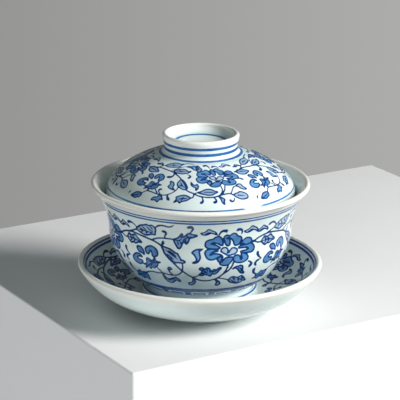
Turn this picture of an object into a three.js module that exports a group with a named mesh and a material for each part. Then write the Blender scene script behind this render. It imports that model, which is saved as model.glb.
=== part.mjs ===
// A gaiwan: a lidded tea bowl that stands on a saucer, in three pieces of porcelain.
// Millimetres, +Z up. The origin is the centre of the saucer's foot, at table height.
// Each piece is turned on a wheel, so each is one section (radius, height) lathed round Z.
import * as THREE from 'three';

// ---- Shared ----------------------------------------------------------------
const SEGMENTS = 48;            // facets round each piece
const TOUCH_GAP = 0.3;          // left between two faces that rest on each other
const EDGE_ROUND = 0.6;         // rounding of the foot rings' edges

// ---- Saucer ----------------------------------------------------------------
const SAUCER_RADIUS = 56.2;     // to the outside of the lip
const SAUCER_HEIGHT = 23.4;     // table to the top of the lip
const SAUCER_WALL = 3.8;        // thickness of the wall over the foot
const SAUCER_LIP = 2.5;         // thickness at the lip
const SAUCER_FOOT_RADIUS = 24.6;
const SAUCER_FOOT_WIDTH = 3.6;
const SAUCER_FOOT_HEIGHT = 3.1;
const SAUCER_BASE = 3.7;        // thickness of the middle, inside the foot
const WELL_RISE = 0.7;          // the middle stands this far above the foot of the wall
const RIDGE_HEIGHT = 3.8;       // raised ring that keeps the bowl's foot in place
const RIDGE_WIDTH = 2.2;

// ---- Bowl ------------------------------------------------------------------
const BOWL_RADIUS = 50;         // to the outside of the lip
const BOWL_HEIGHT = 53.1;       // foot to the top of the lip
const BOWL_WALL = 2.3;
const BOWL_WAIST_RADIUS = 41.8; // outside, where the round belly turns into the flare
const BOWL_WAIST_HEIGHT = 30.1; // above the foot
const BOWL_FOOT_RADIUS = 24;
const BOWL_FOOT_WIDTH = 3.4;
const BOWL_FOOT_HEIGHT = 6.2;
const BOWL_RECESS = 4.3;        // depth of the hollow inside the foot ring
const BOWL_BASE = 2.6;          // thickness of the floor over that hollow
const FOOT_CLEARANCE = 0.5;     // between the bowl's foot and the saucer's ridge, all round

// ---- Lid -------------------------------------------------------------------
const LID_SEAT_DEPTH = 7.3;     // the lid's edge lies this far below the bowl's lip
const LID_RISE = 22.4;          // from the lid's edge to the crown of its dome
const LID_WALL = 2.3;
const KNOB_RADIUS = 17.5;
const KNOB_HEIGHT = 6.2;        // crown of the dome to the top of the knob
const KNOB_LIP = 2.2;           // thickness of the knob's lip
const KNOB_FLARE = 1.1;         // how much wider the neck's root is than the knob
const KNOB_RECESS = 4.4;        // depth of the hollow in the knob
const KNOB_FLOOR_RADIUS = 10.5; // of the flat in that hollow

// ---- Section tools ---------------------------------------------------------
const at = (radius, height) => new THREE.Vector2(radius, height);
const bend = (...points) => new THREE.CubicBezierCurve(...points);

// A point beside a curve: to its right for a positive distance, which is outside for a wall
// that climbs away from the axis.
function beside(curve, t, distance) {
  const along = curve.getTangent(t);
  return curve.getPoint(t).add(at(along.y, -along.x).multiplyScalar(distance));
}

// One face of a wall: the centre line moved sideways. halfThickness takes 0..1 along the curve.
function face(curve, side, halfThickness, steps, from = 0, to = 1) {
  return Array.from({ length: steps + 1 }, (_, i) => {
    const t = from + (to - from) * (i / steps);
    return beside(curve, t, side * halfThickness(t));
  });
}

// Points of an arc between two angles in degrees, without its two ends.
function arc(centre, radius, startAngle, endAngle, steps) {
  return Array.from({ length: steps - 1 }, (_, i) => {
    const angle = THREE.MathUtils.degToRad(startAngle + (endAngle - startAngle) * ((i + 1) / steps));
    return at(centre.x + radius * Math.cos(angle), centre.y + radius * Math.sin(angle));
  });
}

// The half-round end of a wall, from its right-hand face over to its left-hand face.
function roundedEnd(curve, radius, steps) {
  const along = curve.getTangent(1);
  const heading = THREE.MathUtils.radToDeg(along.angle());
  return arc(curve.getPoint(1), radius, heading - 90, heading + 90, steps);
}

// The place along a curve where a quantity that only grows or only falls reaches a value.
function findAlong(measure, value) {
  let [low, high] = [0, 1];
  const rising = measure(1) > measure(0);
  for (let i = 0; i < 50; i++) {
    const middle = (low + high) / 2;
    if (measure(middle) < value === rising) low = middle;
    else high = middle;
  }
  return (low + high) / 2;
}

// A foot ring from the axis outwards: the recess's ceiling, the inner side and the flat sole.
function footRing(radius, width, sole, ceiling) {
  const inside = radius - width;
  const corner = Math.min(2 * EDGE_ROUND, (ceiling - sole) / 3);
  return [
    at(0, ceiling),
    at(inside - corner, ceiling),
    at(inside, ceiling - corner),
    at(inside, sole + EDGE_ROUND),
    at(inside + EDGE_ROUND, sole),
    at(radius - EDGE_ROUND, sole),
    at(radius, sole + EDGE_ROUND),
  ];
}

// A section lathed round Y and then stood up along Z, as a named mesh with its own glaze.
function turned(name, section, colour) {
  const geometry = new THREE.LatheGeometry(section, SEGMENTS).rotateX(Math.PI / 2);
  const glaze = new THREE.MeshStandardMaterial({ color: colour, roughness: 0.15, metalness: 0 });
  const mesh = new THREE.Mesh(geometry, glaze);
  mesh.name = name;
  return mesh;
}

// ---- Saucer: a shallow dish with a ridge round its well -----------------------
const saucerFloor = SAUCER_FOOT_HEIGHT + SAUCER_WALL;
const wellFloor = saucerFloor + WELL_RISE;

function saucerSection() {
  const start = at(SAUCER_FOOT_RADIUS + 1, SAUCER_FOOT_HEIGHT + SAUCER_WALL / 2);
  const lip = at(SAUCER_RADIUS - SAUCER_LIP / 2, SAUCER_HEIGHT - SAUCER_LIP / 2);
  const [width, rise] = [lip.x - start.x, lip.y - start.y];
  const wall = bend(
    start,
    at(start.x + 0.39 * width, start.y + 0.1 * rise),
    at(lip.x - 0.24 * width, lip.y - 0.66 * rise),
    lip,
  );
  const half = (t) => THREE.MathUtils.lerp(SAUCER_WALL / 2, SAUCER_LIP / 2, t * t);

  // the ridge stands clear of the bowl's foot, and its outer side runs into the dish
  const ridgeInside = BOWL_FOOT_RADIUS + FOOT_CLEARANCE;
  const ridgeTop = wellFloor + RIDGE_HEIGHT;
  const ridgeMiddle = at(ridgeInside + RIDGE_WIDTH / 2, ridgeTop - RIDGE_WIDTH / 2);
  const skirt = ridgeInside + RIDGE_WIDTH + 1.2;
  const skirtAlong = findAlong((t) => beside(wall, t, -half(t)).x, skirt);

  return [
    ...footRing(SAUCER_FOOT_RADIUS, SAUCER_FOOT_WIDTH, 0, wellFloor - SAUCER_BASE),
    ...face(wall, 1, half, 7),
    ...roundedEnd(wall, SAUCER_LIP / 2, 4),
    ...face(wall, -1, half, 7, 1, skirtAlong),
    at(ridgeInside + RIDGE_WIDTH, saucerFloor + 1.3),
    at(ridgeInside + RIDGE_WIDTH, ridgeMiddle.y),
    ...arc(ridgeMiddle, RIDGE_WIDTH / 2, 0, 180, 4),
    at(ridgeInside, ridgeMiddle.y),
    at(ridgeInside, wellFloor),
    at(0, wellFloor),
  ];
}

// ---- Bowl: a round belly under a flared mouth, on a tall foot ring -------------
const bowlFoot = wellFloor + TOUCH_GAP;
const bowlTop = bowlFoot + BOWL_HEIGHT;
const halfBowlWall = () => BOWL_WALL / 2;

const bellyStart = at(BOWL_FOOT_RADIUS + 0.9, bowlFoot + BOWL_FOOT_HEIGHT + BOWL_WALL / 2);
const waist = at(BOWL_WAIST_RADIUS - BOWL_WALL / 2, bowlFoot + BOWL_WAIST_HEIGHT);
const bowlLip = at(BOWL_RADIUS - BOWL_WALL / 2, bowlTop - BOWL_WALL / 2);
const bellyRise = waist.y - bellyStart.y;
const flareRise = bowlLip.y - waist.y;

const belly = bend(
  bellyStart,
  at(bellyStart.x + 0.46 * (waist.x - bellyStart.x), bellyStart.y + 0.08 * bellyRise),
  at(waist.x, waist.y - 0.345 * bellyRise),
  waist,
);
const flare = bend(
  waist,
  at(waist.x, waist.y + 0.49 * flareRise),
  at(bowlLip.x - 0.3 * (bowlLip.x - waist.x), bowlLip.y - 0.06 * flareRise),
  bowlLip,
);

function bowlSection() {
  // the inside runs on from the wall and levels out in the middle
  const recessTop = bowlFoot + BOWL_RECESS;
  const floor = at(0, recessTop + BOWL_BASE);
  const innerStart = beside(belly, 0, -halfBowlWall());
  const down = belly.getTangent(0).multiplyScalar(0.22 * innerStart.x);
  const bottom = bend(
    innerStart,
    innerStart.clone().sub(down),
    at(0.4 * innerStart.x, floor.y),
    floor,
  );

  return [
    ...footRing(BOWL_FOOT_RADIUS, BOWL_FOOT_WIDTH, bowlFoot, recessTop),
    ...face(belly, 1, halfBowlWall, 6),
    ...face(flare, 1, halfBowlWall, 6).slice(1),
    ...roundedEnd(flare, BOWL_WALL / 2, 4),
    ...face(flare, -1, halfBowlWall, 6, 1, 0),
    ...face(belly, -1, halfBowlWall, 6, 1, 0).slice(1),
    ...bottom.getPoints(5).slice(1),
  ];
}

// ---- Lid: a dome whose round edge rests inside the flare, with a hollow knob ----
function lidSection() {
  // the edge's centre line keeps half a bowl wall, the gap and half a lid wall from the flare
  const edgeHeight = bowlTop - LID_SEAT_DEPTH + LID_WALL / 2;
  const reach = BOWL_WALL / 2 + TOUCH_GAP + LID_WALL / 2;
  const seat = findAlong((t) => beside(flare, t, -reach).y, edgeHeight);
  const edge = beside(flare, seat, -reach);
  const crown = edge.y - LID_WALL / 2 + LID_RISE;

  // from the crown down to the edge, so that the inner face is on the right
  const dome = bend(
    at(0, crown),
    at(0.49 * edge.x, crown),
    at(1.02 * edge.x, edge.y + 0.49 * (crown - edge.y)),
    edge,
  );
  const half = () => LID_WALL / 2;
  const neckRoot = KNOB_RADIUS + 2 * KNOB_FLARE;
  const rootAlong = findAlong((t) => beside(dome, t, -half()).x, neckRoot);
  const root = beside(dome, rootAlong, -half());

  const knobTop = crown + LID_WALL / 2 + KNOB_HEIGHT;
  const lipMiddle = at(KNOB_RADIUS - KNOB_LIP / 2, knobTop - KNOB_LIP / 2);
  const hollow = at(KNOB_FLOOR_RADIUS, knobTop - KNOB_RECESS);
  const neck = bend(
    root,
    at(KNOB_RADIUS + 0.2 * KNOB_FLARE, root.y + 0.6),
    at(KNOB_RADIUS - 0.3 * KNOB_FLARE, root.y + 1.5),
    at(KNOB_RADIUS - 0.2 * KNOB_FLARE, root.y + 0.55 * (lipMiddle.y - root.y)),
  );
  const inside = bend(
    at(lipMiddle.x - KNOB_LIP / 2, lipMiddle.y),
    at(lipMiddle.x - KNOB_LIP / 2, lipMiddle.y - 0.3 * KNOB_RECESS),
    at(hollow.x + 0.4 * (lipMiddle.x - hollow.x), hollow.y + 0.1),
    hollow,
  );

  return [
    ...face(dome, 1, half, 8),
    ...roundedEnd(dome, LID_WALL / 2, 4),
    ...face(dome, -1, half, 8, 1, rootAlong),
    ...neck.getPoints(4).slice(1),
    at(lipMiddle.x + KNOB_LIP / 2, lipMiddle.y),
    ...arc(lipMiddle, KNOB_LIP / 2, 0, 180, 4),
    ...inside.getPoints(4),
    at(0, hollow.y),
  ];
}

const gaiwan = new THREE.Group();
gaiwan.name = 'gaiwan';
gaiwan.add(turned('saucer', saucerSection(), '#dde8e6'));
gaiwan.add(turned('bowl', bowlSection(), '#dbe7e8'));
gaiwan.add(turned('lid', lidSection(), '#dfeaea'));

export default gaiwan;
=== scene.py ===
"""A blue and white gaiwan: saucer, bowl and lid of glazed porcelain, painted under the glaze.

Each piece is one closed mesh, turned round the Z axis from the section of its CAD node. Only
the knob's waist is drawn a little narrower.
The painting is drawn in a flat chart of the painted face: x is millimetres round the piece at
a reference radius, and y is millimetres along the section. One unit of it repeats round the
piece. Brush lines and washes become vertex values, on a mesh whose vertices lie along every
line, and the glaze material turns those values into cobalt. Sections and charts are in
millimetres, and the meshes in metres.
"""
import math

import bpy
import numpy as np
from mathutils import Matrix, Vector, geometry


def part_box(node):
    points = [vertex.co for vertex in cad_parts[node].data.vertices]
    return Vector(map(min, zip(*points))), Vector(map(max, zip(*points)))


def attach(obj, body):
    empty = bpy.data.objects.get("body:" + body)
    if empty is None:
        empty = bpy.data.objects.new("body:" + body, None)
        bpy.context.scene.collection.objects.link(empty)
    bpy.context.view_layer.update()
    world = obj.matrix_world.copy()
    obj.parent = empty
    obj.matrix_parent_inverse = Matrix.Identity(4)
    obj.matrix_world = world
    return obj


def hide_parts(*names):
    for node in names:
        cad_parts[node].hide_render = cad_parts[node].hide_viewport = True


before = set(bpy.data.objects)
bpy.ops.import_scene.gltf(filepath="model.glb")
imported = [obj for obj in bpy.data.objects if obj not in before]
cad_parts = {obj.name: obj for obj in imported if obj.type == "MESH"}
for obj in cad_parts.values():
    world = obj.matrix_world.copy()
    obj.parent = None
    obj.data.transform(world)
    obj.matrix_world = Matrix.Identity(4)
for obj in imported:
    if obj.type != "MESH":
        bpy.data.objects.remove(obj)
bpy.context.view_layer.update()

MM = 0.001
SEGMENTS = 180                  # vertices round the plain parts of a piece
SCROLL_REPEATS = 4              # quarters of the flower scroll
LAPPET_REPEATS = 18             # panels round the foot of the belly
GUARD = 0.28                    # mm from a brush line's edge to the vertices outside it
FAR = 0.6                       # mm from an edge at which ink and wash values are clipped


# ---- Material nodes -----------------------------------------------------------------

class Nodes:
    """A node material under construction, with short ways to add, set and join its nodes."""

    def __init__(self, name):
        self.material = bpy.data.materials.new(name)
        self.material.use_nodes = True
        self.tree = self.material.node_tree
        self.shader = self.tree.nodes["Principled BSDF"]

    def put(self, value, socket):
        """Sets a socket to a number or colour, or joins another node's output to it."""
        if isinstance(value, bpy.types.NodeSocket):
            self.tree.links.new(value, socket)
        else:
            socket.default_value = value

    def add(self, kind, **settings):
        """A new node. A setting is one of its inputs or, failing that, a property of it."""
        node = self.tree.nodes.new(kind)
        for key, value in settings.items():
            if key in node.inputs:
                self.put(value, node.inputs[key])
            else:
                setattr(node, key, value)
        return node

    def value(self, name):
        """The vertex value of that name."""
        return self.add("ShaderNodeAttribute", attribute_name=name).outputs["Fac"]

    def math(self, operation, a, b):
        """The result of one arithmetic step on two numbers."""
        node = self.add("ShaderNodeMath", operation=operation)
        self.put(a, node.inputs[0])
        self.put(b, node.inputs[1])
        return node.outputs[0]

    def mix(self, factor, a, b):
        """A colour between a and b."""
        node = self.add("ShaderNodeMix", data_type="RGBA")
        for value, index in ((factor, 0), (a, 6), (b, 7)):
            self.put(value if isinstance(value, bpy.types.NodeSocket) or index == 0
                     else (*value, 1), node.inputs[index])
        return node.outputs[2]

    def blend(self, factor, a, b):
        """A number between a and b."""
        node = self.add("ShaderNodeMix", data_type="FLOAT")
        for value, index in ((factor, 0), (a, 2), (b, 3)):
            self.put(value, node.inputs[index])
        return node.outputs[0]

    def span(self, value, low, high, to_low=0.0, to_high=1.0):
        """Maps low..high smoothly onto to_low..to_high."""
        node = self.add("ShaderNodeMapRange", interpolation_type="SMOOTHSTEP")
        for item, index in ((value, 0), (low, 1), (high, 2), (to_low, 3), (to_high, 4)):
            self.put(item, node.inputs[index])
        return node.outputs[0]

    def noise(self, per_metre, detail=3.0, roughness=0.55, offset=0.0):
        """Noise in the object's own space, about per_metre features to the metre."""
        moved = self.add("ShaderNodeMapping")
        self.put(self.add("ShaderNodeTexCoord").outputs["Object"], moved.inputs["Vector"])
        moved.inputs["Location"].default_value = (offset, 0.7 * offset, -offset)
        node = self.add("ShaderNodeTexNoise", Scale=per_metre, Detail=detail, Roughness=roughness)
        self.put(moved.outputs[0], node.inputs["Vector"])
        return node.outputs["Fac"]


def clay_specks(nodes, colour, offset):
    """Tiny iron specks in the clay, here and there."""
    cells = nodes.add("ShaderNodeTexVoronoi", Scale=230.0)
    nodes.put(nodes.add("ShaderNodeTexCoord").outputs["Object"], cells.inputs["Vector"])
    rare = nodes.math("GREATER_THAN", nodes.noise(95, 1.0, offset=offset), 0.66)
    dot = nodes.span(cells.outputs["Distance"], 0.1, 0.04)
    return nodes.mix(nodes.math("MULTIPLY", dot, nodes.math("MULTIPLY", rare, 0.5)),
                     colour, (0.23, 0.2, 0.17))


def glaze_body(nodes, glaze, offset):
    """The clear glaze over white clay: faintly cloudy, green where it pools, ivory where thin."""
    cloud = nodes.noise(28, 4.0, offset=offset)
    mottle = nodes.noise(420, offset=offset + 3)
    shade = [0.95 * channel for channel in glaze]
    colour = nodes.mix(nodes.span(cloud, 0.3, 0.7), glaze, shade)
    colour = nodes.mix(nodes.span(mottle, 0.35, 0.8, 0.0, 0.3), colour, (0.63, 0.72, 0.71))
    colour = nodes.mix(nodes.math("MULTIPLY", nodes.value("pool"), 0.6), colour, (0.4, 0.56, 0.55))
    return nodes.mix(nodes.math("MULTIPLY", nodes.value("thin"), 0.85), colour, (0.86, 0.83, 0.77))


def cobalt(nodes, body, offset):
    """The painting: a mid-blue wash, and brush lines of dark cobalt that bleed a little.

    A depth under 1 lets the glaze through the wash, and one over 1 darkens the wash.
    """
    brush = nodes.noise(700, 4.0, 0.6, offset=offset)
    drift = nodes.noise(160, offset=offset + 2)
    ragged = nodes.span(brush, 0.3, 0.7, -0.03, 0.03)
    depth = nodes.value("depth")

    wash = nodes.span(nodes.math("ADD", nodes.value("wash"), ragged), -0.05, 0.12)
    tone = nodes.mix(nodes.span(drift, 0.35, 0.65), (0.03, 0.15, 0.38), (0.075, 0.25, 0.5))
    tone = nodes.mix(nodes.span(brush, 0.45, 0.75, 0.0, 0.45), tone, (0.015, 0.085, 0.3))
    tone = nodes.mix(nodes.span(depth, 1.0, 2.0), tone, (0.008, 0.055, 0.25))
    cover = nodes.math("MULTIPLY", wash, nodes.math("MINIMUM", depth, 1.0))
    painted = nodes.mix(cover, body, tone)

    ink = nodes.math("ADD", nodes.value("ink"), ragged)
    bleed = nodes.span(ink, -0.22, 0.0, 0.0, 0.35)
    line = nodes.span(ink, -0.05, 0.1)
    deep = nodes.mix(nodes.span(drift, 0.3, 0.7), (0.002, 0.022, 0.105), (0.006, 0.05, 0.2))
    painted = nodes.mix(bleed, painted, (0.1, 0.26, 0.53))
    return nodes.mix(line, painted, deep)


def porcelain(name, glaze, offset):
    """Glazed and painted porcelain, with bare clay on the sole of the foot ring."""
    nodes = Nodes(name)
    body = clay_specks(nodes, glaze_body(nodes, glaze, offset), offset + 9)
    painted = cobalt(nodes, body, offset + 5)

    grain = nodes.noise(1500, 4.0, offset=offset + 1)
    edge = nodes.math("ADD", nodes.value("bare"), nodes.span(grain, 0.3, 0.7, -0.2, 0.2))
    bare = nodes.span(edge, 0.4, 0.7)
    clay = nodes.mix(nodes.span(grain, 0.3, 0.7), (0.6, 0.49, 0.38), (0.42, 0.31, 0.22))
    nodes.put(nodes.mix(bare, painted, clay), nodes.shader.inputs["Base Color"])

    gloss = nodes.span(nodes.noise(300, offset=offset + 4), 0.3, 0.8, 0.1, 0.18)
    nodes.put(nodes.blend(bare, gloss, 0.8), nodes.shader.inputs["Roughness"])
    nodes.shader.inputs["IOR"].default_value = 1.5

    # the orange peel of the glaze, and the tooth of the bare clay
    peel = nodes.math("MULTIPLY", nodes.noise(170, 2.0, offset=offset + 11), 0.6)
    tooth = nodes.math("MULTIPLY", nodes.noise(2400), bare)
    bump = nodes.add("ShaderNodeBump", Strength=0.1, Distance=0.0002)
    nodes.put(nodes.math("ADD", peel, tooth), bump.inputs["Height"])
    nodes.put(bump.outputs["Normal"], nodes.shader.inputs["Normal"])
    return nodes.material


# ---- Camera, light and stage --------------------------------------------------------

def add_camera():
    """A long lens from the front, a little above the lid."""
    look_at = Vector((-0.0002, 0.0, 0.0513))
    distance = 0.898
    elevation = math.radians(17.3)
    roll = math.radians(0.5)
    back = Vector((0.0, -math.cos(elevation), math.sin(elevation)))
    camera = bpy.data.objects.new("camera", bpy.data.cameras.new("camera"))
    camera.data.sensor_width = 36.0
    camera.data.lens = 176.8
    camera.data.clip_start = 0.01
    camera.location = look_at + distance * back
    aim = (-back).to_track_quat("-Z", "Y").to_matrix().to_4x4()
    camera.rotation_euler = (aim @ Matrix.Rotation(roll, 4, "Z")).to_euler()
    bpy.context.scene.collection.objects.link(camera)
    bpy.context.scene.camera = camera


def area_light(name, place, size, power, colour=(1.0, 1.0, 1.0), mirrored=True):
    """A soft square lamp of the given width. The glaze mirrors it unless told not to."""
    lamp = bpy.data.lights.new(name, "AREA")
    lamp.size = size
    lamp.energy = power
    lamp.color = colour
    obj = bpy.data.objects.new(name, lamp)
    obj.location = place
    obj.visible_glossy = mirrored
    aim = Vector((0.0, 0.0, 0.04)) - Vector(place)
    obj.rotation_euler = aim.to_track_quat("-Z", "Y").to_euler()
    bpy.context.scene.collection.objects.link(obj)


def add_room():
    """A grey room. Its backdrop has painted light: lighter on the right, as if the window lit it. It
    looks lighter than the light that it casts.
    """
    # painted light: the backdrop that the camera sees is darker on the left and lighter on the right
    left, right = (0.29, 0.29, 0.288, 1), (0.43, 0.43, 0.425, 1)
    cast = (0.12, 0.135, 0.135, 1)
    half_view = 0.13            # the sideways part of a view direction at the picture's edge

    world = bpy.data.worlds.new("room")
    bpy.context.scene.world = world
    world.use_nodes = True
    tree = world.node_tree
    way = tree.nodes.new("ShaderNodeSeparateXYZ")
    tree.links.new(tree.nodes.new("ShaderNodeTexCoord").outputs["Generated"], way.inputs[0])
    across = tree.nodes.new("ShaderNodeMapRange")
    across.inputs["From Min"].default_value = -half_view
    across.inputs["From Max"].default_value = half_view
    tree.links.new(way.outputs["X"], across.inputs["Value"])
    wall, tone = (tree.nodes.new("ShaderNodeMix") for _ in range(2))
    wall.data_type = tone.data_type = "RGBA"
    # the backdrop's painted light, mixed from the darker left to the lighter right
    wall.inputs[6].default_value, wall.inputs[7].default_value = left, right
    tree.links.new(across.outputs[0], wall.inputs[0])
    tone.inputs[6].default_value = cast
    tree.links.new(wall.outputs[2], tone.inputs[7])
    seen = tree.nodes.new("ShaderNodeLightPath").outputs["Is Camera Ray"]
    tree.links.new(seen, tone.inputs[0])
    tree.links.new(tone.outputs[2], tree.nodes["Background"].inputs["Color"])


def add_plinth():
    """The white block that the gaiwan stands on, seen over one of its corners."""
    turn = math.radians(31.5)
    left, right, front, back, depth = -0.068, 0.208, -0.057, 0.15, 0.3
    mesh = bpy.data.meshes.new("plinth")
    plan = ((left, front), (right, front), (right, back), (left, back))
    points = [(x, y, z) for z in (-depth, 0.0) for x, y in plan]
    sides = [(i, (i + 1) % 4, (i + 1) % 4 + 4, i + 4) for i in range(4)]
    mesh.from_pydata(points, [], [(3, 2, 1, 0), (4, 5, 6, 7)] + sides)
    mesh.transform(Matrix.Rotation(turn, 4, "Z"))
    plinth = bpy.data.objects.new("plinth", mesh)
    bpy.context.scene.collection.objects.link(plinth)
    edge = plinth.modifiers.new("edge", "BEVEL")
    edge.width, edge.segments = 0.0008, 2

    nodes = Nodes("plinth_paint")
    tone = nodes.mix(nodes.noise(40, 4.0), (0.79, 0.79, 0.79), (0.83, 0.83, 0.83))
    nodes.put(tone, nodes.shader.inputs["Base Color"])
    nodes.shader.inputs["Roughness"].default_value = 0.6
    mesh.materials.append(nodes.material)


def add_lights():
    """A soft window on the right, and weak lamps for the front and for the block's left side."""
    area_light("window", (0.95, -0.38, 0.56), 0.42, 22.0, (1.0, 0.99, 0.98))
    area_light("fill", (-0.1, -1.0, 0.45), 1.2, 2.3, (0.93, 0.99, 1.0), mirrored=False)
    area_light("plinth_light", (-0.7, -0.5, -0.3), 0.3, 3.4, mirrored=False)

    # the default view transform would wash out the cobalt
    bpy.context.scene.view_settings.view_transform = "Standard"


# ---- Curves -------------------------------------------------------------------------

def bezier(points, steps, start=0.0, end=1.0):
    """Points and unit tangents of a cubic Bezier curve."""
    p = np.array(points, float)
    t = np.linspace(start, end, steps + 1)[:, None]
    place = ((1 - t) ** 3 * p[0] + 3 * (1 - t) ** 2 * t * p[1]
             + 3 * (1 - t) * t ** 2 * p[2] + t ** 3 * p[3])
    along = (3 * (1 - t) ** 2 * (p[1] - p[0]) + 6 * (1 - t) * t * (p[2] - p[1])
             + 3 * t ** 2 * (p[3] - p[2]))
    return place, along / np.linalg.norm(along, axis=1)[:, None]


def beside(curve, side, half, steps=60, start=0.0, end=1.0):
    """One face of a wall: its centre line moved to the right (side 1) or left (side -1)."""
    place, along = bezier(curve, steps, start, end)
    gap = side * half(np.linspace(start, end, steps + 1))
    return place + gap[:, None] * np.stack([along[:, 1], -along[:, 0]], axis=1)


def arc(centre, radius, start, end, steps=14):
    """Points of an arc between two angles in degrees."""
    angle = np.radians(np.linspace(start, end, steps + 1))
    return np.array(centre) + radius * np.stack([np.cos(angle), np.sin(angle)], axis=1)


def round_end(curve, radius):
    """The half-round end of a wall, from its right-hand face to its left-hand one."""
    place, along = bezier(curve, 1)
    heading = math.degrees(math.atan2(along[1][1], along[1][0]))
    return arc(place[1], radius, heading - 90, heading + 90)


def corners(points, radius):
    """The same corners, each rounded off by about that radius."""
    p = np.array(points, float)
    out = [p[:1]]
    t = np.linspace(0, 1, 7)[:, None]
    for a, b, c in zip(p, p[1:], p[2:]):
        back, on = a - b, c - b
        cut = min(radius, 0.45 * np.linalg.norm(back), 0.45 * np.linalg.norm(on))
        first = b + back / np.linalg.norm(back) * cut
        last = b + on / np.linalg.norm(on) * cut
        out.append((1 - t) ** 2 * first + 2 * (1 - t) * t * b + t ** 2 * last)
    return np.vstack(out + [p[-1:]])


def joined(*runs):
    """Runs of points as one, without repeated points."""
    p = np.vstack(runs)
    return p[np.r_[True, np.linalg.norm(np.diff(p, axis=0), axis=1) > 1e-4]]


def lengths(points):
    """The distance of each point along its line."""
    return np.r_[0.0, np.cumsum(np.linalg.norm(np.diff(points, axis=0), axis=1))]


def smooth(points, step=0.25):
    """A smooth line through given points (Catmull-Rom)."""
    p = np.array(points, float)
    if np.allclose(p[0], p[-1]):
        p = np.vstack([p[-2], p, p[1]])
    else:
        p = np.vstack([2 * p[0] - p[1], p, 2 * p[-1] - p[-2]])
    line = []
    for a, b, c, d in zip(p, p[1:], p[2:], p[3:]):
        count = max(2, math.ceil(np.linalg.norm(c - b) / step))
        t = np.linspace(0, 1, count, endpoint=False)[:, None]
        line.append(0.5 * (2 * b + (c - a) * t + (2 * a - 5 * b + 4 * c - d) * t ** 2
                           + (3 * b - a - 3 * c + d) * t ** 3))
    return np.vstack(line + [p[-2:-1]])


# ---- Painting -----------------------------------------------------------------------

TAPERS = {                      # share of the full width along a brush line, from 0 to 1
    "even": lambda t: np.ones_like(t),
    "head": lambda t: 0.35 + 0.65 * t ** 1.5,
    "belly": lambda t: 0.25 + 0.75 * np.sin(np.pi * t) ** 0.7,
}


class Brush:
    """Paints into shared lists through a local frame, which can be moved, turned and scaled."""

    def __init__(self, work=None, matrix=np.eye(2), origin=(0.0, 0.0), weight=1.0):
        self.work = work or {"lines": [], "washes": [], "rings": []}
        self.weight = weight            # widths of the lines are multiplied by this
        self.matrix = np.array(matrix, float)
        self.origin = np.array(origin, float)

    def at(self, x, y, turn=0.0, size=(1.0, 1.0)):
        """The same brush in a frame at (x, y), turned by degrees and scaled by (x, y)."""
        c, s = math.cos(math.radians(turn)), math.sin(math.radians(turn))
        local = np.array([[c, -s], [s, c]]) @ np.diag(size)
        origin = self.origin + self.matrix @ np.array([x, y], float)
        return Brush(self.work, self.matrix @ local, origin, self.weight)

    def finer(self, weight):
        """The same brush with thinner lines."""
        return Brush(self.work, self.matrix, self.origin, weight)

    def placed(self, points):
        """Points of the local frame in the chart."""
        return np.array(points, float) @ self.matrix.T + self.origin

    def line(self, points, width=0.9, taper="even", clear=False):
        """A brush line of that width in mm. A clear one leaves bare what it crosses."""
        path = smooth(self.placed(points))
        t = lengths(path)
        half = 0.5 * self.weight * width * TAPERS[taper](t / t[-1])
        self.work["lines"].append((path, half, clear))

    def ring(self, y, width, depth=1.6):
        """A blue line right round the piece."""
        self.work["rings"].append((y, 0.5 * width, depth))

    def wash(self, points, depth=0.9):
        """A closed shape filled with thinned colour."""
        self.work["washes"].append((smooth(self.placed([*points, points[0]])), depth))

    def shape(self, points, width=0.85, depth=0.95):
        """A washed shape with a dark outline."""
        self.wash(points, depth)
        self.line([*points, points[0]], width)


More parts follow.
